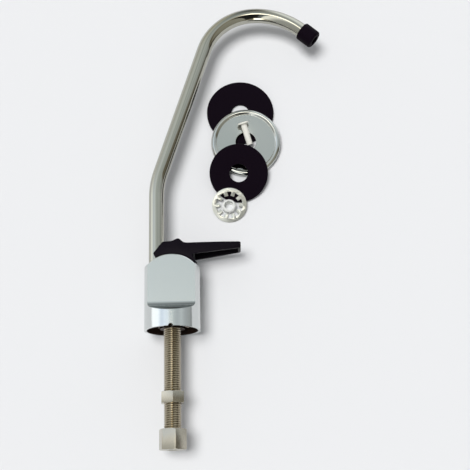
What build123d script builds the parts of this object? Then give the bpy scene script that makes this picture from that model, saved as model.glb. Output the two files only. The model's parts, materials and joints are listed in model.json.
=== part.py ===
"""Drinking water filter tap with its loose deck kit, in millimetres.

The tap lies on its side, as on a table: +Y runs up the tap from the threaded
shank to the spout, +X is the side that the spout and the lever reach to, and
+Z points up from the table. The origin is the centre of the foot's seat.
"""
import math
import os

from build123d import *

# Gaps between pieces, and the overrun of every cut
overrun = 1.0
fit_gap = 0.02
running_gap = 0.05
contact_gap = 0.05
seat_gap = 0.3
small_edge = 0.3

# Body casting
body_diameter = 36.0
body_thickness = 19.0
crown_height = 48.5
crown_radius = 20.3
shoulder_drop = 0.9
flat_foot = 14.5
ledge_foot = 10.2
ledge_fillet = 4.5
flat_edge = 0.6
foot_wall = 1.6
foot_depth = 12.0
hub_diameter = 16.0
hub_setback = 1.0
rib_thickness = 1.4
rib_root = 0.5
rib_setback = 4.5
rib_angle = 52
rim_notch_radius = 1.5

# Threaded shank of 7/16 inch with 18 threads to the inch, screwed into the hub of the foot
shank_diameter = 11.1125
thread_pitch = 1.4111
thread_depth = 0.6
crest_width = 0.18
shank_below = 70.5
shank_bore = 5.0
shank_end_chamfer = 0.8
shank_flare = 0.8
spigot_diameter = 10.0
spigot_length = 7.5
spigot_headroom = 2.0
seal_section = 1.2
seal_land = 2.0
seal_groove = 1.5

# Valve chamber and what stands in it
valve_offset = 4.3
chamber_diameter = 11.2
chamber_floor = 19.0
inlet_diameter = 3.2
seat_diameter = 6.8
seat_press = 1.5
seat_rise = 1.2
outlet_diameter = 3.0
outlet_height = 23.5
seat_disc_thickness = 2.0
seat_disc_diameter = 7.4
flange_thickness = 1.5
flange_diameter = 8.4
rod_diameter = 4.4
guide_diameter = 6.0
guide_start = 1.5
spring_wire = 0.8
spring_diameter = 6.8
spring_pitch = 1.575
bonnet_sink = 14.5
bonnet_length = 11.2
stem_ring_section = 0.9
stem_ring_rise = 5.0
bonnet_ring_section = 0.9
bonnet_ring_rise = 3.0
ring_groove_play = 0.3
spanner_slot = 1.6
spanner_depth = 1.2

# Lever, with its pin through the stem's eye; each place is one to +X and one above the crown
pin_rise = 4.5
pin_diameter = 2.5
eye_diameter = 6.0
eye_thickness = 5.6
lever_width = 18.0
lever_tip_width = 13.5
lever_reach = 44.9
lever_tip_rise = 8.2
lever_tip_thickness = 4.2
neck_place = (10.3, 7.3)
hump_place = (4.3, 10.2)
shoulder_place = (-0.2, 8.6)
heel_top_place = (-5.6, 8.2)
heel_place = (-11.7, 0.6)
armpit_place = (13.2, -0.2)
claw_side_place = (14.9, -4.2)
claw_angle = 40
claw_tip = 0.6
claw_gap = 0.8
heel_draw = 0.25
hump_rise = 0.2
tip_corner = 1.2
heel_corner = 1.0
lever_wall = 1.7
channel_start = 13.5
cheek_gap = 0.6
fork_root = 1.3
rock_gap = 0.9
pin_end_gap = 0.4
pin_wall = 2.4

# Spout: a straight leg, a lean, a long run and an arch of two radii
tube_diameter = 10.0
tube_wall = 1.0
leg_inset = 7.8
leg_rise = 41.9
lean_angle = 18.5
lean_radius = 55.0
run_length = 96.0
arch_radius = 38.0
drop_radius = 49.0
drop_angle = 42
socket_floor = 21.0
spigot_foot = 26.5
spout_land = 1.2
spout_ring_section = 1.56
spout_ring_groove = 1.8
spout_groove_depth = 1.57
clip_thickness = 1.0
clip_play = 0.05
clip_depth = 0.75
clip_bite = 0.65
clip_mouth = 5.0
collar_length = 1.6
neck_length = 5.5
spout_bore = 4.8

# Rubber tip of the spout
tip_diameter = 12.8
tip_length = 11.8
tip_hold = 8.5
tip_bore = 6.4
tip_round = 1.4

# Nuts on the shank
mount_nut_flats = 14.0
mount_nut_height = 7.3
mount_nut_top = -38.5
mount_nut_turn = 4
inlet_nut_flats = 15.5
inlet_nut_height = 12.7
inlet_nut_top = -61.4
inlet_nut_turn = 15
inlet_nut_floor = 3.0
inlet_nut_cone = 1.4
supply_hole = 6.8
nut_chamfer = 0.9
nut_chamfer_height = 0.5

# Loose kit on the table, from the bottom of the stack to its top
deck_washer_diameter = 46.8
deck_washer_hole = 12.5
deck_washer_thickness = 2.4
deck_washer_place = (48.7, 156.5)
escutcheon_diameter = 48.2
escutcheon_hole = 14.2
escutcheon_sheet = 0.8
escutcheon_place = (50.5, 134.1)
skirt_height = 2.8
crest_diameter = 44.4
escutcheon_crest = 5.0
face_diameter = 40.4
face_height = 3.2
small_washer_diameter = 40.0
small_washer_hole = 12.5
small_washer_thickness = 2.2
small_washer_place = (45.7, 111.7)
lock_washer_diameter = 23.6
lock_washer_gap = 18.2
lock_washer_tips = 12.6
lock_washer_thickness = 0.9
lock_washer_place = (38.2, 89.2)
tooth_count = 10
tooth_width = 2.5
tooth_twist = 12
tooth_root = 0.4
ferrule_diameter = 9.0
ferrule_bore = 6.4
ferrule_lip_bore = 5.4
ferrule_lip = 1.6
ferrule_length = 5.6
ferrule_edge = 0.8
ferrule_place = (37.9, 87.8)
insert_diameter = 4.2
insert_bore = 2.9
insert_flange = 7.8
insert_flange_thickness = 1.0
insert_length = 16.0
insert_head = (-1.3, 12.3)
insert_heading = 16.9

# Worked out from the sizes above
body_radius = body_diameter / 2
crown_centre = crown_height - crown_radius
foot_inside = body_radius - foot_wall
hub_radius = hub_diameter / 2
table = -body_radius
shank_radius = shank_diameter / 2
seat_top = chamber_floor + seat_rise
disc_foot = seat_top + running_gap
flange_foot = disc_foot + seat_disc_thickness
flange_top = flange_foot + flange_thickness
bonnet_foot = crown_height - bonnet_sink
bonnet_top = bonnet_foot + bonnet_length
tube_radius = tube_diameter / 2
socket_radius = tube_radius + running_gap
shank_socket_radius = spigot_diameter / 2 + fit_gap
lever_half = lever_width / 2
pin_height = crown_height + pin_rise
leg_offset = body_radius - leg_inset
leg_top = crown_height + leg_rise


def square_to_tap(height, side=0):
    """Plane square to the tap's axis at a height above the seat, moved to one side."""
    return Plane(origin=(side, height, 0), x_dir=(1, 0, 0), z_dir=(0, 1, 0))


def disc(height, side, radius):
    """Round outline square to the tap's axis."""
    with BuildSketch(square_to_tap(height, side)) as outline:
        Circle(radius)
    return outline.sketch


def half_section(points, side=0):
    """Half section of a turned piece, from pairs of radius and height."""
    with BuildSketch(Plane.XY) as outline:
        with BuildLine():
            Polyline([(side + radius, height) for radius, height in points], close=True)
        make_face()
    return outline.sketch


def turning_axis(side=0):
    """Axis of a turned piece, parallel to the tap."""
    return Axis((side, 0, 0), (0, 1, 0))


def on_crown(radius, angle):
    """Point at a radius and an angle about the centre of the crown's arch."""
    turned = math.radians(angle)
    return (radius * math.cos(turned), crown_centre + radius * math.sin(turned))


def above_crown(place):
    """Point from one to +X and one above the crown."""
    return (place[0], crown_height + place[1])


def leaning(place, radius, tilt):
    """Underside plane of a loose disc, its lowest point on the table and its +Y side tilted up."""
    lean = math.radians(tilt)
    middle = place[1] - radius + radius * math.cos(lean)
    return Plane(
        origin=(place[0], middle, table + radius * math.sin(lean)),
        x_dir=(1, 0, 0),
        z_dir=(0, -math.sin(lean), math.cos(lean)),
    )


def hexagon(height, flats, turn):
    """Hexagon square to the tap, with one corner turned away from +Z towards +X."""
    with BuildSketch(square_to_tap(height)) as outline:
        RegularPolygon(flats / 2, 6, major_radius=False, rotation=turn + 30)
    return outline.sketch


def nut_turning(top, height, flats):
    """Half section that rounds off a nut's corners at both ends."""
    corner_radius = flats / 2 / math.cos(math.pi / 6)
    foot = top - height
    return half_section(
        [
            (0, top),
            (corner_radius - nut_chamfer, top),
            (corner_radius, top - nut_chamfer_height),
            (corner_radius, foot + nut_chamfer_height),
            (corner_radius - nut_chamfer, foot),
            (0, foot),
        ]
    )


# Body: a round casting with two flats, an arched crown and a hollow foot
ledge_slope = (flat_foot - ledge_foot) / (body_radius - body_thickness / 2)
blank_half = body_radius + overrun
flat_half = math.sqrt(body_radius**2 - (body_thickness / 2) ** 2)
arch_foot = crown_centre + math.sqrt(crown_radius**2 - flat_half**2)
with BuildPart() as body_casting:
    with BuildSketch(Plane.XY):
        with BuildLine():
            Polyline(
                (-flat_half, arch_foot),
                (-blank_half, arch_foot - shoulder_drop),
                (-blank_half, 0),
                (blank_half, 0),
                (blank_half, arch_foot - shoulder_drop),
                (flat_half, arch_foot),
            )
            ThreePointArc((flat_half, arch_foot), (0, crown_height), (-flat_half, arch_foot))
        make_face()
    extrude(amount=body_thickness / 2, both=True)
    fillet(body_casting.edges().filter_by(GeomType.CIRCLE), flat_edge)
    with BuildSketch(Plane.YZ):
        with BuildLine():
            Polyline(
                (0, 0),
                (flat_foot, 0),
                (flat_foot, body_thickness / 2),
                (ledge_foot - ledge_slope * overrun, body_radius + overrun),
                (0, body_radius + overrun),
                close=True,
            )
        make_face()
        mirror(about=Plane.XZ)
    extrude(amount=blank_half, both=True)
    ledge_edges = body_casting.edges().filter_by(Axis.X).filter_by_position(Axis.Y, ledge_foot, flat_foot)
    fillet(ledge_edges, ledge_fillet)
    extrude(disc(0, 0, body_radius), amount=crown_height + overrun, mode=Mode.INTERSECT)
    # Hollow foot with its hub and four ribs
    extrude(disc(0, 0, foot_inside), amount=foot_depth, mode=Mode.SUBTRACT)
    extrude(disc(hub_setback, 0, hub_radius), amount=foot_depth - hub_setback)
    rib_middle = (hub_radius + foot_inside) / 2
    rib_length = foot_inside - hub_radius + 2 * rib_root
    with BuildSketch(square_to_tap(rib_setback)):
        for first_angle in (rib_angle, 180 - rib_angle):
            with PolarLocations(rib_middle, 2, start_angle=first_angle):
                Rectangle(rib_length, rib_thickness)
    extrude(amount=foot_depth - rib_setback)
    with BuildSketch(Plane.XY.offset(foot_inside - overrun)):
        Circle(rim_notch_radius)
    extrude(amount=foot_wall + 2 * overrun, mode=Mode.SUBTRACT)
    # Socket of the shank, inlet port, valve chamber and outlet port
    socket_top = hub_setback + spigot_length + spigot_headroom
    extrude(disc(0, 0, shank_socket_radius), amount=socket_top, mode=Mode.SUBTRACT)
    inlet_length = chamber_floor - socket_top
    extrude(disc(socket_top, valve_offset, inlet_diameter / 2), amount=inlet_length, mode=Mode.SUBTRACT)
    seat_hole = disc(chamber_floor - seat_press, valve_offset, seat_diameter / 2)
    extrude(seat_hole, amount=seat_press, mode=Mode.SUBTRACT)
    chamber = disc(chamber_floor, valve_offset, chamber_diameter / 2)
    extrude(chamber, amount=crown_height - chamber_floor + overrun, mode=Mode.SUBTRACT)
    with BuildSketch(Plane.YZ.offset(-leg_offset)):
        with Locations((outlet_height, 0)):
            Circle(outlet_diameter / 2)
    extrude(amount=leg_offset + valve_offset, mode=Mode.SUBTRACT)
    # Socket of the spout, with the groove of its clip
    socket_depth = crown_height - socket_floor + overrun
    extrude(disc(socket_floor, -leg_offset, socket_radius), amount=socket_depth, mode=Mode.SUBTRACT)
    clip_foot = spigot_foot + 3 * spout_land + 2 * spout_ring_groove
    groove_radius = socket_radius + clip_bite
    clip_seat = disc(clip_foot - clip_play, -leg_offset, groove_radius)
    extrude(clip_seat, amount=clip_thickness + 2 * clip_play, mode=Mode.SUBTRACT)
body_casting.part.label = "body_casting"

# Shank: ringed thread outside, bored through, with a plain spigot in the hub
thread_foot = -shank_below + shank_end_chamfer
thread_count = int((hub_setback - thread_foot) / thread_pitch)
spigot_radius = spigot_diameter / 2
bore_radius = shank_bore / 2
seal_foot = hub_setback + seal_land
seal_floor = spigot_radius - seal_section
shank_outline = [(bore_radius, hub_setback + spigot_length), (bore_radius, shank_flare - shank_below)]
shank_outline += [(bore_radius + shank_flare, -shank_below)]
shank_outline += [(shank_radius - shank_end_chamfer, -shank_below)]
for turn in range(thread_count):
    crest = thread_foot + turn * thread_pitch
    shank_outline += [(shank_radius, crest), (shank_radius, crest + crest_width)]
    shank_outline += [(shank_radius - thread_depth, crest + (crest_width + thread_pitch) / 2)]
shank_outline += [(shank_radius, thread_foot + thread_count * thread_pitch)]
shank_outline += [(shank_radius, hub_setback), (spigot_radius, hub_setback)]
shank_outline += [(spigot_radius, seal_foot), (seal_floor, seal_foot)]
shank_outline += [(seal_floor, seal_foot + seal_groove), (spigot_radius, seal_foot + seal_groove)]
shank_outline += [(spigot_radius, hub_setback + spigot_length)]
with BuildPart() as shank:
    revolve(half_section(shank_outline), axis=turning_axis())
shank.part.label = "shank"

with BuildPart(square_to_tap(seal_foot + seal_groove / 2)) as shank_seal:
    Torus(seal_floor + seal_section / 2, seal_section / 2)
shank_seal.part.label = "shank_seal"

# Valve seat pressed into the floor of the chamber
with BuildPart() as valve_seat:
    seat_outline = disc(chamber_floor - seat_press, valve_offset, seat_diameter / 2)
    extrude(seat_outline, amount=seat_press + seat_rise)
    chamfer(valve_seat.edges().group_by(Axis.Y)[-1], small_edge)
    bore_outline = disc(chamber_floor - seat_press, valve_offset, inlet_diameter / 2)
    extrude(bore_outline, amount=seat_press + seat_rise, mode=Mode.SUBTRACT)
valve_seat.part.label = "valve_seat"

# Stem: flange, rod, guide and the eye for the lever's pin
guide_radius = guide_diameter / 2
stem_ring_floor = guide_radius - stem_ring_section
stem_groove = stem_ring_section + ring_groove_play
stem_ring_height = bonnet_foot + stem_ring_rise
stem_groove_foot = stem_ring_height - stem_groove / 2
guide_foot = bonnet_foot + guide_start
stem_outline = [
    (0, flange_foot),
    (flange_diameter / 2, flange_foot),
    (flange_diameter / 2, flange_top),
    (rod_diameter / 2, flange_top),
    (rod_diameter / 2, guide_foot),
    (guide_radius, guide_foot),
    (guide_radius, stem_groove_foot),
    (stem_ring_floor, stem_groove_foot),
    (stem_ring_floor, stem_groove_foot + stem_groove),
    (guide_radius, stem_groove_foot + stem_groove),
    (guide_radius, pin_height),
    (0, pin_height),
]
with BuildPart() as stem:
    revolve(half_section(stem_outline, valve_offset), axis=turning_axis(valve_offset))
    with BuildSketch(Plane.XY):
        with Locations((valve_offset, pin_height)):
            Circle(eye_diameter / 2)
    extrude(amount=eye_thickness / 2, both=True)
    with BuildSketch(Plane.XY):
        with Locations((valve_offset, pin_height)):
            Circle(pin_diameter / 2 + running_gap)
    extrude(amount=guide_diameter, both=True, mode=Mode.SUBTRACT)
stem.part.label = "stem"

with BuildPart(square_to_tap(stem_ring_height, valve_offset)) as stem_o_ring:
    Torus(stem_ring_floor + stem_ring_section / 2, stem_ring_section / 2)
stem_o_ring.part.label = "stem_o_ring"

with BuildPart() as seat_disc:
    extrude(disc(disc_foot, valve_offset, seat_disc_diameter / 2), amount=seat_disc_thickness)
    fillet(seat_disc.edges().group_by(Axis.Y)[0], small_edge)
seat_disc.part.label = "seat_disc"

# Return spring between the flange and the bonnet
spring_foot = flange_top + spring_wire / 2
spring_rise = bonnet_foot - flange_top - spring_wire
with BuildPart() as stem_spring:
    with BuildLine():
        coil = Helix(
            spring_pitch,
            spring_rise,
            spring_diameter / 2,
            center=(valve_offset, spring_foot, 0),
            direction=(0, 1, 0),
        )
    with BuildSketch(Plane(origin=coil @ 0, z_dir=coil % 0)):
        Circle(spring_wire / 2 - fit_gap)
    sweep(is_frenet=True)
stem_spring.part.label = "stem_spring"

# Bonnet: the bush that guides the stem and closes the chamber
bonnet_radius = chamber_diameter / 2
bonnet_ring_floor = bonnet_radius - bonnet_ring_section
bonnet_groove = bonnet_ring_section + ring_groove_play
bonnet_ring_height = bonnet_foot + bonnet_ring_rise
bonnet_groove_foot = bonnet_ring_height - bonnet_groove / 2
bonnet_outline = [
    (guide_radius + running_gap, bonnet_foot),
    (bonnet_radius - fit_gap, bonnet_foot),
    (bonnet_radius - fit_gap, bonnet_groove_foot),
    (bonnet_ring_floor, bonnet_groove_foot),
    (bonnet_ring_floor, bonnet_groove_foot + bonnet_groove),
    (bonnet_radius - fit_gap, bonnet_groove_foot + bonnet_groove),
    (bonnet_radius - fit_gap, bonnet_top),
    (guide_radius + running_gap, bonnet_top),
]
with BuildPart() as bonnet:
    revolve(half_section(bonnet_outline, valve_offset), axis=turning_axis(valve_offset))
    with BuildSketch(square_to_tap(bonnet_top - spanner_depth, valve_offset)):
        Rectangle(spanner_slot, chamber_diameter)
    extrude(amount=spanner_depth, mode=Mode.SUBTRACT)
bonnet.part.label = "bonnet"

with BuildPart(square_to_tap(bonnet_ring_height, valve_offset)) as bonnet_o_ring:
    Torus(bonnet_ring_floor + bonnet_ring_section / 2, bonnet_ring_section / 2 - fit_gap)
bonnet_o_ring.part.label = "bonnet_o_ring"

# Lever: a forked saddle over the crown, a hump over the pin and a tapering arm
lever_heel, lever_heel_top = above_crown(heel_place), above_crown(heel_top_place)
lever_shoulder, lever_hump = above_crown(shoulder_place), above_crown(hump_place)
lever_neck, lever_armpit = above_crown(neck_place), above_crown(armpit_place)
claw_side = above_crown(claw_side_place)
lever_tip_top = crown_height + lever_tip_rise
saddle_radius = crown_radius + seat_gap
heel_angle = math.degrees(math.atan2(lever_heel[1] - crown_centre, lever_heel[0])) - heel_draw
heel_low = on_crown(saddle_radius, heel_angle)
saddle_top = on_crown(saddle_radius, 90)
claw_inner = on_crown(crown_radius + claw_gap, claw_angle)
claw_outer = on_crown(crown_radius + claw_gap + claw_tip, claw_angle)
tip_top = (lever_reach, lever_tip_top)
tip_low = (lever_reach, lever_tip_top - lever_tip_thickness)
with BuildPart() as lever:
    with BuildSketch(Plane.XY):
        with BuildLine():
            Polyline(heel_low, lever_heel, lever_heel_top, lever_shoulder)
            Spline(lever_shoulder, lever_hump, lever_neck, tangents=[(1, hump_rise), (1, 0), (1, 0)])
            Polyline(lever_neck, tip_top, tip_low, lever_armpit, claw_side, claw_outer, claw_inner)
            ThreePointArc(claw_inner, saddle_top, heel_low)
        make_face()
    extrude(amount=lever_half, both=True)
    fillet(lever.edges().filter_by(Axis.Z).sort_by_distance(lever_heel)[:1], heel_corner)
    fillet(lever.edges().filter_by(Axis.Z).sort_by_distance(lever_heel_top)[:1], heel_corner)
    with BuildSketch(square_to_tap(crown_centre)):
        with BuildLine():
            Polyline(
                (lever_heel[0] - overrun, lever_half),
                (channel_start, lever_half),
                (lever_reach, lever_tip_width / 2),
                (lever_reach, -lever_tip_width / 2),
                (channel_start, -lever_half),
                (lever_heel[0] - overrun, -lever_half),
                close=True,
            )
        make_face()
    extrude(amount=lever_hump[1] - crown_centre + overrun, mode=Mode.INTERSECT)
    fillet(lever.edges().filter_by(Axis.Y).group_by(Axis.X)[-1], tip_corner)
    # Slot for the spout, open at the heel
    slot_end = tube_diameter / 2 + fork_root - leg_offset
    slot_length = slot_end - lever_heel[0] + overrun
    with BuildSketch(square_to_tap(crown_centre)):
        with Locations((slot_end - slot_length / 2, 0)):
            Rectangle(slot_length, tube_diameter + 2 * cheek_gap)
    extrude(amount=lever_hump[1] - crown_centre, mode=Mode.SUBTRACT)
    # Slot for the stem, with a round top over the pin
    stem_slot = guide_diameter / 2 + rock_gap + seat_gap
    with BuildSketch(Plane.XY):
        with Locations((valve_offset, pin_height)):
            Circle(stem_slot)
        with Locations((valve_offset, (crown_centre + pin_height) / 2)):
            Rectangle(2 * stem_slot, pin_height - crown_centre)
    extrude(amount=guide_diameter / 2 + seat_gap, both=True, mode=Mode.SUBTRACT)
    with BuildSketch(Plane.XY.offset(-lever_half - overrun)):
        with Locations((valve_offset, pin_height)):
            Circle(pin_diameter / 2 + fit_gap)
    extrude(amount=2 * lever_half - pin_wall + overrun, mode=Mode.SUBTRACT)
    # Arm hollowed from below
    channel_root = lever_armpit[0] + lever_wall
    channel_tip = lever_reach - lever_wall
    root_half = lever_half - lever_wall
    tip_half = lever_tip_width / 2 - lever_wall
    with BuildSketch(square_to_tap(crown_centre)):
        with BuildLine():
            Polyline(
                (channel_root, root_half),
                (channel_tip, tip_half),
                (channel_tip, -tip_half),
                (channel_root, -root_half),
                close=True,
            )
        make_face()
    extrude(amount=lever_neck[1] - lever_wall - crown_centre, mode=Mode.SUBTRACT)
lever.part.label = "lever"

# Pin through both cheeks of the lever and the stem's eye, blind at the upper cheek
pin_low = -lever_half + pin_end_gap
with BuildPart() as lever_pin:
    with BuildSketch(Plane.XY.offset(pin_low)):
        with Locations((valve_offset, pin_height)):
            Circle(pin_diameter / 2)
    extrude(amount=lever_half - pin_wall - pin_end_gap - pin_low)
lever_pin.part.label = "lever_pin"

# Spout spigot: brass collar with two ring grooves and a clip groove, necked into the tube
ring_floor = tube_radius - spout_groove_depth
clip_floor = tube_radius - clip_depth
first_ring = spigot_foot + spout_land
second_ring = first_ring + spout_ring_groove + spout_land
clip_top = clip_foot + clip_thickness
tube_foot = clip_top + collar_length
neck_radius = tube_radius - tube_wall - fit_gap
spigot_outline = [(spout_bore / 2, spigot_foot), (tube_radius, spigot_foot)]
for ring_foot in (first_ring, second_ring):
    ring_top = ring_foot + spout_ring_groove
    spigot_outline += [(tube_radius, ring_foot), (ring_floor, ring_foot)]
    spigot_outline += [(ring_floor, ring_top), (tube_radius, ring_top)]
spigot_outline += [(tube_radius, clip_foot - clip_play), (clip_floor, clip_foot - clip_play)]
spigot_outline += [(clip_floor, clip_top + clip_play), (tube_radius, clip_top + clip_play)]
spigot_outline += [(tube_radius, tube_foot - fit_gap), (neck_radius, tube_foot - fit_gap)]
spigot_outline += [(neck_radius, tube_foot + neck_length), (spout_bore / 2, tube_foot + neck_length)]
with BuildPart() as spout_spigot:
    revolve(half_section(spigot_outline, -leg_offset), axis=turning_axis(-leg_offset))
spout_spigot.part.label = "spout_spigot"

with BuildPart() as spout_o_rings:
    for ring_foot in (first_ring, second_ring):
        with Locations(square_to_tap(ring_foot + spout_ring_groove / 2, -leg_offset)):
            Torus(ring_floor + spout_ring_section / 2, spout_ring_section / 2)
spout_o_rings.part.label = "spout_o_rings"

# Open ring that keeps the spigot in its socket
with BuildPart() as spout_clip:
    with BuildSketch(square_to_tap(clip_foot, -leg_offset)):
        Circle(groove_radius - fit_gap)
        Circle(clip_floor + running_gap, mode=Mode.SUBTRACT)
        with Locations((-groove_radius, 0)):
            Rectangle(2 * clip_depth + clip_bite + overrun, clip_mouth, mode=Mode.SUBTRACT)
    extrude(amount=clip_thickness)
spout_clip.part.label = "spout_clip"

# Spout tube: a leg, a lean, a long run and an arch that turns down
with BuildPart() as spout_tube:
    with BuildLine():
        leg = Line((-leg_offset, tube_foot), (-leg_offset, leg_top))
        lean = JernArc(leg @ 1, leg % 1, lean_radius, -lean_angle)
        run = Line(lean @ 1, (lean @ 1) + run_length * (lean % 1))
        arch = JernArc(run @ 1, run % 1, arch_radius, lean_angle - 90)
        drop = JernArc(arch @ 1, arch % 1, drop_radius, -drop_angle)
        Line(drop @ 1, (drop @ 1) + (tip_hold - fit_gap) * (drop % 1))
    with BuildSketch(Plane(origin=leg @ 0, z_dir=leg % 0)):
        Circle(tube_radius)
        Circle(tube_radius - tube_wall, mode=Mode.SUBTRACT)
    sweep()
spout_tube.part.label = "spout_tube"

# Rubber tip pushed over the end of the spout
tip_plane = Plane(origin=drop @ 1, z_dir=drop % 1)
with BuildPart() as spout_tip:
    with BuildSketch(tip_plane):
        Circle(tip_diameter / 2)
    extrude(amount=tip_length)
    fillet(spout_tip.edges(), tip_round)
    with BuildSketch(tip_plane):
        Circle(tube_radius + fit_gap)
    extrude(amount=tip_hold, mode=Mode.SUBTRACT)
    with BuildSketch(tip_plane):
        Circle(tip_bore / 2)
    extrude(amount=tip_length, mode=Mode.SUBTRACT)
spout_tip.part.label = "spout_tip"

# Short nut that clamps the tap to the deck
thread_hole = shank_radius + running_gap
with BuildPart() as mount_nut:
    extrude(hexagon(mount_nut_top, mount_nut_flats, mount_nut_turn), amount=-mount_nut_height)
    turned_nut = nut_turning(mount_nut_top, mount_nut_height, mount_nut_flats)
    revolve(turned_nut, axis=turning_axis(), mode=Mode.INTERSECT)
    extrude(disc(mount_nut_top, 0, thread_hole), amount=-mount_nut_height, mode=Mode.SUBTRACT)
mount_nut.part.label = "mount_nut"

# Long nut at the shank's end, closed down to a cone and a hole for the supply tube
cone_top = inlet_nut_top - inlet_nut_height + inlet_nut_floor
nut_bore = [
    (0, inlet_nut_top + overrun),
    (thread_hole, inlet_nut_top + overrun),
    (thread_hole, cone_top),
    (supply_hole / 2, cone_top - inlet_nut_cone),
    (supply_hole / 2, inlet_nut_top - inlet_nut_height - overrun),
    (0, inlet_nut_top - inlet_nut_height - overrun),
]
with BuildPart() as compression_nut:
    extrude(hexagon(inlet_nut_top, inlet_nut_flats, inlet_nut_turn), amount=-inlet_nut_height)
    turned_nut = nut_turning(inlet_nut_top, inlet_nut_height, inlet_nut_flats)
    revolve(turned_nut, axis=turning_axis(), mode=Mode.INTERSECT)
    revolve(half_section(nut_bore), axis=turning_axis(), mode=Mode.SUBTRACT)
compression_nut.part.label = "compression_nut"

# Large rubber washer, flat on the table
with BuildPart() as large_deck_washer:
    with BuildSketch(Plane.XY.offset(table)):
        with Locations(deck_washer_place):
            Circle(deck_washer_diameter / 2)
            Circle(deck_washer_hole / 2, mode=Mode.SUBTRACT)
    extrude(amount=deck_washer_thickness)
large_deck_washer.part.label = "large_deck_washer"

# Escutcheon: pressed sheet, its far side propped up by the large washer's edge
escutcheon_radius = escutcheon_diameter / 2
apart = math.dist(escutcheon_place, deck_washer_place)
toward_x = (deck_washer_place[0] - escutcheon_place[0]) / apart
toward_y = (deck_washer_place[1] - escutcheon_place[1]) / apart
skirt_inside = escutcheon_radius - escutcheon_sheet
along = (apart + (skirt_inside**2 - (deck_washer_diameter / 2) ** 2) / apart) / 2
beside = math.sqrt(skirt_inside**2 - along**2)
crossing = along * toward_y - beside * abs(toward_x) + escutcheon_radius
escutcheon_tilt = math.degrees(math.asin((deck_washer_thickness + contact_gap) / crossing))
escutcheon_plane = leaning(escutcheon_place, escutcheon_radius, escutcheon_tilt)
crest_radius = crest_diameter / 2
face_radius = face_diameter / 2
sheet_top = [(escutcheon_radius, 0), (escutcheon_radius, skirt_height), (crest_radius, escutcheon_crest)]
sheet_top += [(face_radius, face_height), (escutcheon_hole / 2, face_height)]
sheet_under = [(escutcheon_hole / 2, face_height - escutcheon_sheet)]
sheet_under += [(face_radius, face_height - escutcheon_sheet)]
sheet_under += [(crest_radius, escutcheon_crest - escutcheon_sheet)]
sheet_under += [(skirt_inside, skirt_height - escutcheon_sheet / 2), (skirt_inside, 0)]
with BuildPart() as escutcheon:
    with BuildSketch(Plane(escutcheon_plane.origin, escutcheon_plane.x_dir, -escutcheon_plane.y_dir)):
        with BuildLine():
            Polyline(sheet_top + sheet_under, close=True)
        make_face()
    revolve(axis=Axis(escutcheon_plane.origin, escutcheon_plane.z_dir))
escutcheon.part.label = "escutcheon"

# Small rubber washer, leaning on the near side of the escutcheon's crest
lean_cosine = math.cos(math.radians(escutcheon_tilt))
lean_sine = math.sin(math.radians(escutcheon_tilt))
low_edge = escutcheon_place[1] - escutcheon_radius
crest_step = escutcheon_radius - crest_radius
crest_y = low_edge + crest_step * lean_cosine - escutcheon_crest * lean_sine
crest_z = crest_step * lean_sine + escutcheon_crest * lean_cosine
small_radius = small_washer_diameter / 2
small_low = small_washer_place[1] - small_radius
small_tilt = math.degrees(math.atan2(crest_z + contact_gap, crest_y - small_low))
small_plane = leaning(small_washer_place, small_radius, small_tilt)
with BuildPart() as small_deck_washer:
    with BuildSketch(small_plane):
        Circle(small_radius)
        Circle(small_washer_hole / 2, mode=Mode.SUBTRACT)
    extrude(amount=small_washer_thickness)
small_deck_washer.part.label = "small_deck_washer"

# Lock washer: thin ring with twisted inner teeth, leaning on the small washer's low edge
lock_radius = lock_washer_diameter / 2
lock_low = lock_washer_place[1] - lock_radius
tooth_dip = tooth_width / 2 * math.sin(math.radians(tooth_twist))
rim_y = small_low - small_washer_thickness * math.sin(math.radians(small_tilt))
rim_z = small_washer_thickness * math.cos(math.radians(small_tilt)) + tooth_dip + contact_gap
small_slope = math.tan(math.radians(small_tilt))
far_rise = (rim_z - (rim_y - lock_low) * small_slope) * math.cos(math.radians(small_tilt))
lock_tilt = small_tilt + math.degrees(math.asin(far_rise / lock_washer_diameter))
lock_plane = leaning(lock_washer_place, lock_radius, lock_tilt)
tooth_length = (lock_washer_gap - lock_washer_tips) / 2 + tooth_root
with BuildPart() as lock_washer:
    with BuildSketch(lock_plane):
        Circle(lock_radius)
        Circle(lock_washer_gap / 2, mode=Mode.SUBTRACT)
    extrude(amount=lock_washer_thickness)
    with Locations(lock_plane):
        with PolarLocations((lock_washer_tips + tooth_length) / 2, tooth_count):
            Box(
                tooth_length,
                tooth_width,
                lock_washer_thickness,
                rotation=(tooth_twist, 0, 0),
                align=(Align.CENTER, Align.CENTER, Align.MIN),
            )
lock_washer.part.label = "lock_washer"

# Ferrule: plastic sleeve with an inner lip, standing in the lock washer's hole
with BuildPart() as ferrule:
    with BuildSketch(Plane.XY.offset(table)):
        with Locations(ferrule_place):
            Circle(ferrule_diameter / 2)
    extrude(amount=ferrule_length)
    chamfer(ferrule.edges().group_by(Axis.Z)[-1], ferrule_edge)
    with BuildSketch(Plane.XY.offset(table)):
        with Locations(ferrule_place):
            Circle(ferrule_lip_bore / 2)
    extrude(amount=ferrule_length, mode=Mode.SUBTRACT)
    with BuildSketch(Plane.XY.offset(table + ferrule_lip)):
        with Locations(ferrule_place):
            Circle(ferrule_bore / 2)
    extrude(amount=ferrule_length - ferrule_lip, mode=Mode.SUBTRACT)
ferrule.part.label = "ferrule"

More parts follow.
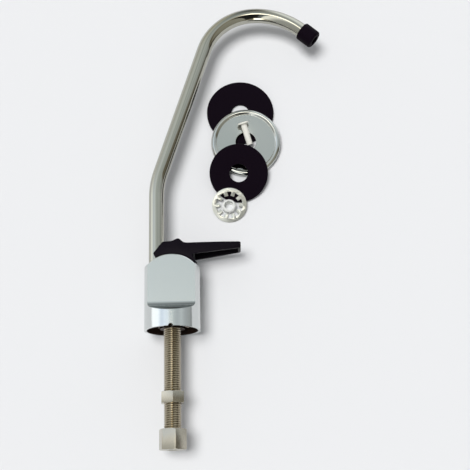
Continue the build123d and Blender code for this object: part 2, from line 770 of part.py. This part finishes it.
# Tube insert: its flange on the escutcheon's face, its tube over the hole's far edge
flange_radius = insert_flange / 2
heading_x = math.sin(math.radians(insert_heading))
heading_y = -math.cos(math.radians(insert_heading))
head_x, head_y = insert_head
head_along = head_x * heading_x + head_y * heading_y
hole_slack = (escutcheon_hole / 2) ** 2 - head_x**2 - head_y**2
edge_reach = -head_along - math.sqrt(head_along**2 + hole_slack)
drop_at_edge = flange_radius - insert_diameter / 2
nose_sine = math.sqrt(edge_reach**2 + 4 * flange_radius * drop_at_edge) - edge_reach
nose_sine = nose_sine / (2 * flange_radius)
nose_cosine = math.sqrt(1 - nose_sine**2)
head_height = face_height + flange_radius * nose_cosine + contact_gap
insert_origin = escutcheon_plane.from_local_coords(Vector(head_x, head_y, head_height))
local_heading = Vector(heading_x * nose_cosine, heading_y * nose_cosine, -nose_sine)
insert_direction = escutcheon_plane.from_local_coords(local_heading) - escutcheon_plane.origin
insert_plane = Plane(origin=insert_origin, z_dir=insert_direction)
with BuildPart() as tube_insert:
    with BuildSketch(insert_plane):
        Circle(flange_radius)
    extrude(amount=-insert_flange_thickness)
    with BuildSketch(insert_plane):
        Circle(insert_diameter / 2)
    extrude(amount=insert_length - insert_flange_thickness)
    with BuildSketch(insert_plane.offset(-insert_flange_thickness)):
        Circle(insert_bore / 2)
    extrude(amount=insert_length, mode=Mode.SUBTRACT)
tube_insert.part.label = "tube_insert"

os.makedirs("parts", exist_ok=True)
pieces = [body_casting, shank, shank_seal, valve_seat, seat_disc, stem, stem_o_ring, stem_spring, bonnet]
pieces += [bonnet_o_ring, lever, lever_pin, spout_spigot, spout_o_rings, spout_clip, spout_tube, spout_tip]
pieces += [mount_nut, compression_nut, large_deck_washer, escutcheon, small_deck_washer, lock_washer]
pieces += [ferrule, tube_insert]
for piece in pieces:
    export_step(piece.part, f"parts/{piece.part.label}.step")
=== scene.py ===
import json
import math

import bmesh
import bpy
from mathutils import Matrix, Vector


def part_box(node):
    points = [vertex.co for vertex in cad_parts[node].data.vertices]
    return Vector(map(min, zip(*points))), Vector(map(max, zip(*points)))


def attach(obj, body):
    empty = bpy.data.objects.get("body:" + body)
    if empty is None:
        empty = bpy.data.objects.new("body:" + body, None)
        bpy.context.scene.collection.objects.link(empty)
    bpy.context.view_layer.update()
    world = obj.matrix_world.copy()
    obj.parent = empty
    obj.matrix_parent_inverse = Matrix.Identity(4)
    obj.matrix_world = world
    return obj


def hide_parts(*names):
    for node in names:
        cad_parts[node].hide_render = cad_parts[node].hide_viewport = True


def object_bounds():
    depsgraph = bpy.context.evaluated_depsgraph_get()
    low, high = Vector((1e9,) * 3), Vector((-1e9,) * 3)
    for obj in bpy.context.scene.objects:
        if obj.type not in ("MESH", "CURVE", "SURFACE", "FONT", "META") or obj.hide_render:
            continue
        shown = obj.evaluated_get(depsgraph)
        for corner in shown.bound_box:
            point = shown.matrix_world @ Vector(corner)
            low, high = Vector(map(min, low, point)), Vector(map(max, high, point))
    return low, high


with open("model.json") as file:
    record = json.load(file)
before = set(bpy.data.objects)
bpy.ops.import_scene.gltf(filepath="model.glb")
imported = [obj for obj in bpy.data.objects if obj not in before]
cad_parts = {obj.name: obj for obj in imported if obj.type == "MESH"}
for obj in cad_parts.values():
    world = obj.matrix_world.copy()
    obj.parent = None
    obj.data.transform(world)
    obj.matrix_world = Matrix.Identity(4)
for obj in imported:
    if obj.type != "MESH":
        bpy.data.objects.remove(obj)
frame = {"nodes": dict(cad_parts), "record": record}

startLow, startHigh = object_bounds()
mm = 0.001
meshSettings = {"weld": 0.001 * mm, "flatAngle": 0.5, "sharpAngle": 35, "fineSharpAngle": 60}


# Lowest corner, highest corner, middle and size of a CAD node
def sized(node):
    low, high = (Vector(corner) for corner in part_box(node))
    return low, high, (low + high) / 2, high - low


# Materials: colour, roughness and surface each vary a little with one noise
surfaceSettings = {"index": 1.45, "specular": 0.5, "noiseDetail": 4, "bumpDistance": 0.05 * mm}


def newMaterial(name, settings):
    material = bpy.data.materials.new(name)
    material.use_nodes = True
    nodes, links = material.node_tree.nodes, material.node_tree.links
    shader = nodes["Principled BSDF"]
    shader.inputs["Metallic"].default_value = settings["metallic"]
    shader.inputs["IOR"].default_value = surfaceSettings["index"]
    specular = settings.get("specular", surfaceSettings["specular"])
    shader.inputs["Specular IOR Level"].default_value = specular
    coordinates = nodes.new("ShaderNodeTexCoord")
    stretch = nodes.new("ShaderNodeMapping")
    stretch.inputs["Scale"].default_value = settings.get("stretch", (1, 1, 1))
    links.new(coordinates.outputs["Object"], stretch.inputs["Vector"])
    noise = nodes.new("ShaderNodeTexNoise")
    noise.inputs["Scale"].default_value = settings["noiseScale"]
    noise.inputs["Detail"].default_value = surfaceSettings["noiseDetail"]
    links.new(stretch.outputs["Vector"], noise.inputs["Vector"])
    colours = nodes.new("ShaderNodeMix")
    colours.data_type = "RGBA"
    colours.inputs["A"].default_value = (*settings["colour"], 1)
    colours.inputs["B"].default_value = (*settings["secondColour"], 1)
    links.new(noise.outputs["Fac"], colours.inputs["Factor"])
    links.new(colours.outputs["Result"], shader.inputs["Base Color"])
    roughness = nodes.new("ShaderNodeMapRange")
    roughness.inputs["To Min"].default_value = settings["roughness"][0]
    roughness.inputs["To Max"].default_value = settings["roughness"][1]
    links.new(noise.outputs["Fac"], roughness.inputs["Value"])
    links.new(roughness.outputs["Result"], shader.inputs["Roughness"])
    if "bump" in settings:
        bump = nodes.new("ShaderNodeBump")
        bump.inputs["Strength"].default_value = settings["bump"]
        bump.inputs["Distance"].default_value = surfaceSettings["bumpDistance"]
        links.new(noise.outputs["Fac"], bump.inputs["Height"])
        links.new(bump.outputs["Normal"], shader.inputs["Normal"])
    return material


finishes = {
    "chrome": {
        "colour": (0.48, 0.495, 0.475), "secondColour": (0.45, 0.465, 0.445), "metallic": 1,
        "roughness": (0.06, 0.10), "noiseScale": 40,
    },
    "brushedChrome": {
        "colour": (0.65, 0.675, 0.667), "secondColour": (0.59, 0.615, 0.607), "metallic": 1,
        "roughness": (0.08, 0.15), "noiseScale": 90, "stretch": (1, 14, 4),
    },
    # Bare casting whose near-black tone is painted shade for the hollow of the foot
    "bareCastingPaintedShade": {
        "colour": (0.05, 0.025, 0.015), "secondColour": (0.012, 0.006, 0.005), "metallic": 0.5,
        "roughness": (0.35, 0.5), "noiseScale": 90,
    },
    "tubeChrome": {
        "colour": (0.43, 0.425, 0.37), "secondColour": (0.405, 0.40, 0.345), "metallic": 1,
        "roughness": (0.055, 0.085), "noiseScale": 60,
    },
    "nickel": {
        "colour": (0.51, 0.48, 0.405), "secondColour": (0.455, 0.43, 0.36), "metallic": 1,
        "roughness": (0.18, 0.28), "noiseScale": 120,
    },
    "threadNickel": {
        "colour": (0.42, 0.375, 0.29), "secondColour": (0.35, 0.305, 0.225), "metallic": 1,
        "roughness": (0.08, 0.13), "noiseScale": 120,
    },
    "zinc": {
        "colour": (0.66, 0.67, 0.62), "secondColour": (0.57, 0.58, 0.53), "metallic": 0.75,
        "roughness": (0.26, 0.34), "noiseScale": 300,
    },
    # Painted glint: pale matt colour on the ends of the ribs in the foot's hollow
    "paintedGlint": {
        "colour": (0.90, 0.80, 0.70), "secondColour": (0.84, 0.72, 0.62), "metallic": 0,
        "roughness": (0.3, 0.4), "noiseScale": 300,
    },
    "steel": {
        "colour": (0.78, 0.78, 0.75), "secondColour": (0.72, 0.72, 0.69), "metallic": 1,
        "roughness": (0.2, 0.3), "noiseScale": 150,
    },
    "brass": {
        "colour": (0.75, 0.58, 0.26), "secondColour": (0.66, 0.50, 0.22), "metallic": 1,
        "roughness": (0.2, 0.3), "noiseScale": 150,
    },
    "rubber": {
        "colour": (0.003, 0.0015, 0.0035), "secondColour": (0.006, 0.003, 0.007), "metallic": 0,
        "roughness": (0.5, 0.65), "noiseScale": 700, "bump": 0.2, "specular": 0.05,
    },
    "plastic": {
        "colour": (0.003, 0.002, 0.004), "secondColour": (0.006, 0.004, 0.008), "metallic": 0,
        "roughness": (0.32, 0.42), "noiseScale": 500, "bump": 0.1, "specular": 0.08,
    },
    "clearPlastic": {
        "colour": (0.80, 0.81, 0.78), "secondColour": (0.74, 0.75, 0.72), "metallic": 0,
        "roughness": (0.2, 0.3), "noiseScale": 200, "specular": 0.4,
    },
    "whitePlastic": {
        "colour": (0.84, 0.83, 0.76), "secondColour": (0.80, 0.79, 0.72), "metallic": 0,
        "roughness": (0.35, 0.45), "noiseScale": 200, "specular": 0.3,
    },
}
materials = {name: newMaterial(name, settings) for name, settings in finishes.items()}

nodeFinish = {
    "body_casting": "brushedChrome", "escutcheon": "chrome", "spout_tube": "tubeChrome",
    "shank": "threadNickel", "mount_nut": "nickel", "compression_nut": "nickel",
    "lock_washer": "zinc", "stem_spring": "steel", "spout_clip": "steel", "lever_pin": "steel",
    "valve_seat": "brass", "spout_spigot": "brass", "bonnet": "brass", "stem": "brass",
    "seat_disc": "rubber", "shank_seal": "rubber", "stem_o_ring": "rubber",
    "bonnet_o_ring": "rubber", "spout_o_rings": "rubber", "spout_tip": "rubber",
    "large_deck_washer": "rubber", "small_deck_washer": "rubber", "lever": "plastic",
    "ferrule": "clearPlastic", "tube_insert": "whitePlastic",
}
for node, cadObject in frame["nodes"].items():
    cadObject.data.materials.clear()
    cadObject.data.materials.append(materials[nodeFinish[node]])


# The hollow of the foot is bare casting coloured near-black as painted shade, with a painted glint
# on the ends of its ribs
footSettings = {
    "hub": 8.1 * mm, "reach": 16.6 * mm, "wallTop": 10.1 * mm, "levels": (1.0 * mm, 12.0 * mm),
    "ribFoot": 4.5 * mm, "touch": 0.05 * mm, "bareShadeSlot": 1, "paintedGlintSlot": 2,
}
castingData = frame["nodes"]["body_casting"].data
castingPlace = frame["nodes"]["body_casting"].matrix_world
castingData.materials.append(materials["bareCastingPaintedShade"])
# Slot for the painted glint on the rib ends
castingData.materials.append(materials["paintedGlint"])
for face in castingData.polygons:
    centre = castingPlace @ face.center
    touch = footSettings["touch"]
    reach = math.hypot(centre.x, centre.z)
    wall = touch < centre.y < footSettings["wallTop"] and reach > footSettings["hub"]
    ribEnd = abs(centre.y - footSettings["ribFoot"]) < touch
    level = any(abs(centre.y - height) < touch for height in footSettings["levels"])
    # Walls, hub end and roof of the hollow get painted shade; the rib ends get a painted glint
    if reach < footSettings["reach"] and (wall or level):
        face.material_index = footSettings["paintedGlintSlot" if ribEnd else "bareShadeSlot"]
print("materials done")

bodyOfNode = {
    node: body for body, nodes in frame["record"]["behaviour"]["bodies"].items() for node in nodes
}


# Smooth object from a mesh in the shared frame: stands for a CAD node and moves with its body
def finished(name, mesh, node, sharpAngle=meshSettings["sharpAngle"]):
    bmesh.ops.remove_doubles(mesh, verts=mesh.verts, dist=meshSettings["weld"])
    bmesh.ops.recalc_face_normals(mesh, faces=mesh.faces)
    data = bpy.data.meshes.new(name)
    mesh.to_mesh(data)
    mesh.free()
    data.shade_smooth()
    data.set_sharp_from_angle(angle=math.radians(sharpAngle))
    data.materials.append(materials[nodeFinish[node]])
    piece = bpy.data.objects.new(name, data)
    bpy.context.scene.collection.objects.link(piece)
    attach(piece, bodyOfNode[node])
    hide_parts(node)
    return piece


# Closed outline from (radius, height, corner radius) points, each corner turned into an arc
def rounded(profile, steps=6):
    outline = []
    for index, (radius, height, corner) in enumerate(profile):
        here = Vector((radius, height))
        if corner == 0:
            outline.append(here)
            continue
        before = (Vector(profile[index - 1][:2]) - here).normalized()
        after = (Vector(profile[(index + 1) % len(profile)][:2]) - here).normalized()
        half = before.angle(after) / 2
        centre = here + (before + after).normalized() * corner / math.sin(half)
        start = here + before * corner / math.tan(half) - centre
        end = here + after * corner / math.tan(half) - centre
        for step in range(steps + 1):
            outline.append(centre + start.lerp(end, step / steps).normalized() * corner)
    return outline


# Closed outline spun about an axis through a place
def turned(profile, place, axis, steps=160):
    mesh = bmesh.new()
    side = axis.orthogonal().normalized()
    ring = [mesh.verts.new(place + side * point.x + axis * point.y) for point in rounded(profile)]
    edges = [mesh.edges.new((ring[index - 1], vertex)) for index, vertex in enumerate(ring)]
    bmesh.ops.spin(
        mesh, geom=ring + edges, cent=place, axis=axis, angle=2 * math.pi, steps=steps,
        use_merge=True,
    )
    return mesh


# Quads between rings of equal count, the last ring joined to the first
def skinned(mesh, rings):
    for index, ring in enumerate(rings):
        before = rings[index - 1]
        for corner in range(len(ring)):
            mesh.faces.new((before[corner - 1], before[corner], ring[corner], ring[corner - 1]))


# Copy of a CAD node's mesh in the shared frame, its flat faces made whole again
def ownMesh(node):
    source = frame["nodes"][node]
    mesh = bmesh.new()
    mesh.from_mesh(source.data)
    mesh.transform(source.matrix_world)
    bmesh.ops.remove_doubles(mesh, verts=mesh.verts, dist=meshSettings["weld"])
    bmesh.ops.dissolve_limit(
        mesh, angle_limit=math.radians(meshSettings["flatAngle"]), verts=mesh.verts,
        edges=mesh.edges,
    )
    return mesh


# A CAD node's own shape with its sharp edges rubbed over
def eased(name, node, settings):
    mesh = ownMesh(node)
    least = math.radians(settings["angle"])
    if "tipLength" in settings:  # a rounder end where the arm reaches farthest to the right
        start = max(vertex.co.x for vertex in mesh.verts) - settings["tipLength"]
        rim = [
            edge for edge in mesh.edges
            if min(vertex.co.x for vertex in edge.verts) > start
            and edge.calc_face_angle(0) > least
            and abs(edge.verts[0].co.y - edge.verts[1].co.y) < settings["tipSlope"]
        ]
        bmesh.ops.bevel(
            mesh, geom=rim, offset=settings["tipRound"], segments=settings["tipSegments"],
            profile=0.5, affect="EDGES", clamp_overlap=False, material=-1,
        )
    edges = [edge for edge in mesh.edges if edge.is_manifold and edge.calc_face_angle(0) > least]
    bmesh.ops.bevel(
        mesh, geom=edges, offset=settings["offset"], segments=settings["segments"], profile=0.5,
        affect="EDGES", clamp_overlap=True, material=-1,
    )
    return finished(name, mesh, node)


discSettings = {"facesUp": 0.8, "digits": 3}


# Foot, axis and thickness of a flat round node that may lean
def discFrame(node):
    mesh = ownMesh(node)
    total, middle, areas = 0, Vector(), {}
    for face in mesh.faces:
        size = face.calc_area()
        total += size
        middle += face.calc_center_median_weighted() * size
        if face.normal.z > discSettings["facesUp"]:
            key = tuple(round(value, discSettings["digits"]) for value in face.normal)
            areas[key] = areas.get(key, 0) + size
    middle /= total
    axis = Vector(max(areas, key=areas.get)).normalized()
    heights = [(vertex.co - middle).dot(axis) for vertex in mesh.verts]
    mesh.free()
    return middle + axis * min(heights), axis, max(heights) - min(heights)


# Shank with its helical thread and a plain spigot that goes up into the body
shankSettings = {
    "pitch": 1.4111 * mm, "depth": 0.6 * mm, "crestShare": 0.24, "bore": 2.5 * mm,
    "chamfer": 0.8 * mm, "spigotStart": 3 * mm, "spigot": 4.99 * mm, "around": 72,
    "rowsPerTurn": 10,
}


def threadedShank(settings):
    low, high, _, size = sized("shank")
    outer = size.x / 2
    mesh = bmesh.new()
    rows = int(size.y / settings["pitch"] * settings["rowsPerTurn"])
    turns = [2 * math.pi * index / settings["around"] for index in range(settings["around"])]
    rings = []
    for row in range(rows + 1):
        height = low.y + size.y * row / rows
        fromEnd = min(height - low.y, high.y - height)
        ring = []
        for angle in turns:
            phase = (height / settings["pitch"] + angle / (2 * math.pi)) % 1
            groove = max(0, 1 - abs(2 * phase - 1) / (1 - settings["crestShare"]))
            radius = min(outer - settings["depth"] * groove, outer - settings["chamfer"] + fromEnd)
            if height > settings["spigotStart"]:
                radius = min(radius, settings["spigot"])
            place = (radius * math.cos(angle), height, radius * math.sin(angle))
            ring.append(mesh.verts.new(place))
        rings.append(ring)
    bore = settings["bore"]
    for height in (high.y, low.y):
        rings.append([
            mesh.verts.new((bore * math.cos(angle), height, bore * math.sin(angle)))
            for angle in turns
        ])
    skinned(mesh, rings)
    finished("shankThread", mesh, "shank", meshSettings["fineSharpAngle"])


threadedShank(shankSettings)

# Spout: smooth tube along a leg, a lean, a long run and an arch of two radii
spoutSettings = {
    "wall": 1.0 * mm, "legTop": 90.4 * mm, "lean": 18.5, "leanRadius": 55 * mm,
    "run": 96 * mm, "archRadius": 38 * mm, "dropRadius": 49 * mm, "drop": 42, "end": 8.48 * mm,
    "around": 96, "stepAngle": 1.5,
}
tubeRadius = sized("spout_tube")[3].z / 2


# Places and headings along the middle of the spout
def spoutPath(settings):
    place = Vector((sized("spout_spigot")[2].x, sized("spout_tube")[0].y, 0))
    path = [(place.copy(), 0)]
    place.y = settings["legTop"]
    path.append((place.copy(), 0))
    heading = 0
    for radius, amount in (
        (settings["leanRadius"], settings["lean"]), (None, settings["run"]),
        (settings["archRadius"], 90 - settings["lean"]), (settings["dropRadius"], settings["drop"]),
        (None, settings["end"]),
    ):
        if radius is None:
            place = place + Vector((math.sin(heading), math.cos(heading), 0)) * amount
            path.append((place.copy(), heading))
            continue
        pivot = place + Vector((math.cos(heading), -math.sin(heading), 0)) * radius
        steps = math.ceil(amount / settings["stepAngle"])
        start = heading
        for step in range(1, steps + 1):
            heading = start + math.radians(amount) * step / steps
            place = pivot - Vector((math.cos(heading), -math.sin(heading), 0)) * radius
            path.append((place.copy(), heading))
    return path


def spoutTube(path, settings):
    mesh = bmesh.new()
    rings = []
    for radius, run in ((tubeRadius, path), (tubeRadius - settings["wall"], path[::-1])):
        for place, heading in run:
            side = Vector((math.cos(heading), -math.sin(heading), 0))
            ring = []
            for index in range(settings["around"]):
                angle = 2 * math.pi * index / settings["around"]
                offset = side * math.cos(angle) + Vector((0, 0, 1)) * math.sin(angle)
                ring.append(mesh.verts.new(place + offset * radius))
            rings.append(ring)
    skinned(mesh, rings)
    finished("spoutTube", mesh, "spout_tube")


path = spoutPath(spoutSettings)
spoutTube(path, spoutSettings)

# Rubber tip pushed over the end of the tube
tipSettings = {
    "length": 11.8 * mm, "bore": 3.2 * mm, "hold": 8.5 * mm, "gap": 0.02 * mm,
    "mouth": 1.6 * mm, "back": 1.0 * mm, "lip": 0.5 * mm,
}


def spoutTip(settings):
    end, heading = path[-1]
    axis = Vector((math.sin(heading), math.cos(heading), 0))
    outer = sized("spout_tip")[3].z / 2
    inner = tubeRadius + settings["gap"]
    profile = [
        (inner, 0, 0), (outer, 0, settings["back"]), (outer, settings["length"], settings["mouth"]),
        (settings["bore"], settings["length"], settings["lip"]),
        (settings["bore"], settings["hold"], 0), (inner, settings["hold"], 0),
    ]
    finished("spoutTip", turned(profile, end - axis * spoutSettings["end"], axis), "spout_tip")


spoutTip(tipSettings)
print("spout done")

# Lever, nuts and lock washer keep their own shapes with eased edges
eased("leverMoulded", "lever", {
    "angle": 25, "offset": 0.5 * mm, "segments": 3, "tipLength": 1.2 * mm,
    "tipSlope": 0.05 * mm, "tipRound": 1.0 * mm, "tipSegments": 6,
})
eased("mountNut", "mount_nut", {"angle": 20, "offset": 0.2 * mm, "segments": 3})
eased("compressionNut", "compression_nut", {"angle": 20, "offset": 0.25 * mm, "segments": 3})
eased("lockWasher", "lock_washer", {"angle": 40, "offset": 0.12 * mm, "segments": 2})
print("tap done")

# Rubber deck washers with softened rims
washerSettings = {
    "hole": 6.25 * mm, "edge": 0.4 * mm, "washers": [
        ("largeDeckWasher", "large_deck_washer", 23.4 * mm),
        ("smallDeckWasher", "small_deck_washer", 20.0 * mm),
    ],
}
for name, node, radius in washerSettings["washers"]:
    foot, axis, thickness = discFrame(node)
    hole, edge = washerSettings["hole"], washerSettings["edge"]
    profile = [
        (hole, 0, edge), (radius, 0, edge), (radius, thickness, edge), (hole, thickness, edge),
    ]
    finished(name, turned(profile, foot, axis), node)

# Base plate pressed from sheet: a skirt, a rolled crest and a flat sunken face
escutcheonSettings = {
    "radius": 24.1 * mm, "skirt": 2.8 * mm, "crest": 22.2 * mm, "crestHeight": 5.0 * mm,
    "face": 20.2 * mm, "faceHeight": 3.2 * mm, "hole": 7.1 * mm, "sheet": 0.8 * mm,
    "shoulderRound": 1.8 * mm, "crestRound": 2.1 * mm, "innerRound": 0.5 * mm, "edge": 0.2 * mm,
}


def pressedPlate(settings):
    foot, axis, _ = discFrame("escutcheon")
    radius, sheet, edge = settings["radius"], settings["sheet"], settings["edge"]
    faceHeight = settings["faceHeight"]
    profile = [
        (radius, 0, edge), (radius, settings["skirt"], settings["shoulderRound"]),
        (settings["crest"], settings["crestHeight"], settings["crestRound"]),
        (settings["face"], faceHeight, settings["innerRound"]),
        (settings["hole"], faceHeight, edge), (settings["hole"], faceHeight - sheet, edge),
        (settings["face"], faceHeight - sheet, edge),
        (settings["crest"], settings["crestHeight"] - sheet, edge),
        (radius - sheet, settings["skirt"] - sheet / 2, edge), (radius - sheet, 0, edge),
    ]
    plate = turned(profile, foot, axis)
    finished("escutcheonPlate", plate, "escutcheon", meshSettings["fineSharpAngle"])


pressedPlate(escutcheonSettings)
print("kit done")

# Plain pale floor under everything
floorSettings = {
    "size": 8.0, "drop": 0.02 * mm, "finish": {
        "colour": (0.785, 0.79, 0.80), "secondColour": (0.785, 0.79, 0.80), "metallic": 0,
        "roughness": (0.85, 0.95), "noiseScale": 20, "specular": 0.1,
    },
}
floorMesh = bmesh.new()
bmesh.ops.create_grid(floorMesh, x_segments=1, y_segments=1, size=floorSettings["size"] / 2)
floorData = bpy.data.meshes.new("floor")
floorMesh.to_mesh(floorData)
floorMesh.free()
floorData.transform(Matrix.Translation((0, 0, startLow[2] - floorSettings["drop"])))
floor = bpy.data.objects.new("floor", floorData)
bpy.context.scene.collection.objects.link(floor)
floorData.materials.append(newMaterial("floor", floorSettings["finish"]))

# A wide, soft key light from high up on the left
sunSettings = {"tilt": 14, "heading": 170, "strength": 2.35, "spread": 26}
sunData = bpy.data.lights.new("sun", "SUN")
sunData.energy = sunSettings["strength"]
sunData.angle = math.radians(sunSettings["spread"])
sun = bpy.data.objects.new("sun", sunData)
tilt, heading = math.radians(sunSettings["tilt"]), math.radians(sunSettings["heading"])
toSun = Vector((
    math.sin(tilt) * math.cos(heading), math.sin(tilt) * math.sin(heading), math.cos(tilt),
))
sun.rotation_euler = toSun.to_track_quat("Z", "Y").to_euler()
sun.visible_glossy = False
bpy.context.scene.collection.objects.link(sun)

# Studio seen in the metal: five bands from the foot's end to the spout's, each with its colours
# from left to right
skySettings = {
    "level": 1.15, "plain": (0.84, 0.855, 0.87), "soft": (0.32, 0.325, 0.335),
    "limits": [(-0.96, -0.90), (-0.04, 0.02), (0.11, 0.165), (0.28, 0.85)],
    "bands": [
        [
            (0.0, (0.25, 0.23, 0.18)), (0.25, (0.40, 0.38, 0.31)), (0.40, (0.65, 0.62, 0.52)),
            (0.46, (4.5, 4.3, 3.7)), (0.52, (4.5, 4.3, 3.7)), (0.545, (0.22, 0.19, 0.13)),
            (1.0, (0.18, 0.15, 0.10)),
        ],
        [
            (0.0, (0.45, 0.45, 0.42)), (0.30, (0.55, 0.57, 0.57)), (0.36, (1.0, 1.0, 1.0)),
            (0.40, (1.5, 1.5, 1.45)), (0.445, (1.5, 1.5, 1.45)), (0.458, (0.20, 0.23, 0.25)),
            (0.485, (0.17, 0.19, 0.21)), (0.495, (0.02, 0.02, 0.02)), (0.645, (0.02, 0.02, 0.02)),
            (0.66, (0.42, 0.41, 0.36)), (0.95, (0.34, 0.33, 0.28)), (1.0, (0.08, 0.07, 0.05)),
        ],
        [
            (0.0, (0.55, 0.55, 0.53)), (0.01, (0.98, 0.98, 0.97)), (0.27, (0.98, 0.98, 0.96)),
            (0.32, (1.3, 1.25, 1.1)), (0.37, (3.2, 3.05, 2.7)), (0.48, (4.6, 4.3, 3.8)),
            (0.53, (6.4, 6.0, 5.2)), (0.58, (0.60, 0.52, 0.38)), (0.66, (0.32, 0.28, 0.20)),
            (0.90, (0.16, 0.14, 0.10)), (0.94, (0.24, 0.22, 0.18)), (1.0, (0.10, 0.09, 0.07)),
        ],
        [
            (0.0, (0.05, 0.05, 0.06)), (0.007, (0.06, 0.06, 0.07)), (0.010, (1.35, 1.38, 1.4)),
            (0.09, (1.3, 1.36, 1.42)), (0.16, (0.88, 0.97, 1.09)), (0.20, (0.86, 0.95, 1.09)),
            (0.27, (0.98, 1.07, 1.18)), (0.38, (0.90, 0.98, 1.06)), (0.45, (0.705, 0.755, 0.765)),
            (0.482, (0.675, 0.725, 0.735)), (0.54, (0.63, 0.69, 0.70)), (0.60, (0.57, 0.62, 0.63)),
            (0.70, (0.51, 0.55, 0.57)), (0.82, (0.60, 0.64, 0.65)), (0.91, (0.46, 0.49, 0.50)),
            (0.98, (0.40, 0.42, 0.42)), (1.0, (0.20, 0.20, 0.20)),
        ],
        [
            (0.0, (0.36, 0.35, 0.30)), (0.20, (0.56, 0.55, 0.46)), (0.39, (0.60, 0.59, 0.50)),
            (0.45, (0.26, 0.29, 0.30)), (0.50, (0.14, 0.15, 0.15)), (0.54, (0.30, 0.30, 0.28)),
            (0.60, (1.25, 1.3, 1.34)), (0.90, (1.25, 1.3, 1.34)), (1.0, (0.6, 0.62, 0.62)),
        ],
    ],
}


def studioSky(settings):
    world = bpy.data.worlds.new("studio")
    bpy.context.scene.world = world
    world.use_nodes = True
    nodes, links = world.node_tree.nodes, world.node_tree.links
    nodes.clear()
    coordinates = nodes.new("ShaderNodeTexCoord")
    separate = nodes.new("ShaderNodeSeparateXYZ")
    links.new(coordinates.outputs["Generated"], separate.inputs["Vector"])
    across = nodes.new("ShaderNodeMapRange")
    across.inputs["From Min"].default_value = -1
    links.new(separate.outputs["X"], across.inputs["Value"])

    def band(stops):
        ramp = nodes.new("ShaderNodeValToRGB")
        elements = ramp.color_ramp.elements
        elements[0].color, elements[-1].color = (*stops[0][1], 1), (*stops[-1][1], 1)
        for place, colour in stops[1:-1]:
            elements.new(place).color = (*colour, 1)
        links.new(across.outputs["Result"], ramp.inputs["Fac"])
        return ramp.outputs["Color"]

    def blended(first, second, limits):
        share = nodes.new("ShaderNodeMapRange")
        share.inputs["From Min"].default_value, share.inputs["From Max"].default_value = limits
        links.new(separate.outputs["Y"], share.inputs["Value"])
        both = nodes.new("ShaderNodeMix")
        both.data_type = "RGBA"
        links.new(share.outputs["Result"], both.inputs["Factor"])
        links.new(first, both.inputs["A"])
        links.new(second, both.inputs["B"])
        return both.outputs["Result"]

    def background(colour):
        shader = nodes.new("ShaderNodeBackground")
        shader.inputs["Color"].default_value = (*colour, 1)
        return shader

    def chosen(ray, first, second):
        mix = nodes.new("ShaderNodeMixShader")
        links.new(rays.outputs[ray], mix.inputs["Fac"])
        links.new(first.outputs[0], mix.inputs[1])
        links.new(second.outputs[0], mix.inputs[2])
        return mix

    rays = nodes.new("ShaderNodeLightPath")
    studio = nodes.new("ShaderNodeBackground")
    studio.inputs["Strength"].default_value = settings["level"]
    colour = band(settings["bands"][0])
    for stops, limits in zip(settings["bands"][1:], settings["limits"]):
        colour = blended(colour, band(stops), limits)
    links.new(colour, studio.inputs["Color"])
    lit = chosen("Is Diffuse Ray", studio, background(settings["soft"]))
    seen = chosen("Is Camera Ray", lit, background(settings["plain"]))
    output = nodes.new("ShaderNodeOutputWorld")
    links.new(seen.outputs["Shader"], output.inputs["Surface"])


studioSky(skySettings)
print("light done")

# Camera at the photo's angle
cameraSettings = {
    "place": Vector((37.2, -112.65, 574.3)) * mm, "aim": Vector((41.38, 62.82, 0)) * mm,
    "right": Vector((0.9997, -0.024, 0)), "lens": 70.0, "sensor": 36.0,
}
cameraData = bpy.data.cameras.new("camera")
cameraData.lens = cameraSettings["lens"]
cameraData.sensor_width = cameraSettings["sensor"]
camera = bpy.data.objects.new("camera", cameraData)
forward = (cameraSettings["aim"] - cameraSettings["place"]).normalized()
right = (cameraSettings["right"] - forward * cameraSettings["right"].dot(forward)).normalized()
turn = Matrix((right, right.cross(forward), -forward)).transposed().to_4x4()
camera.matrix_world = Matrix.Translation(cameraSettings["place"]) @ turn
bpy.context.scene.collection.objects.link(camera)
bpy.context.scene.camera = camera
bpy.context.scene.view_settings.view_transform = "Standard"
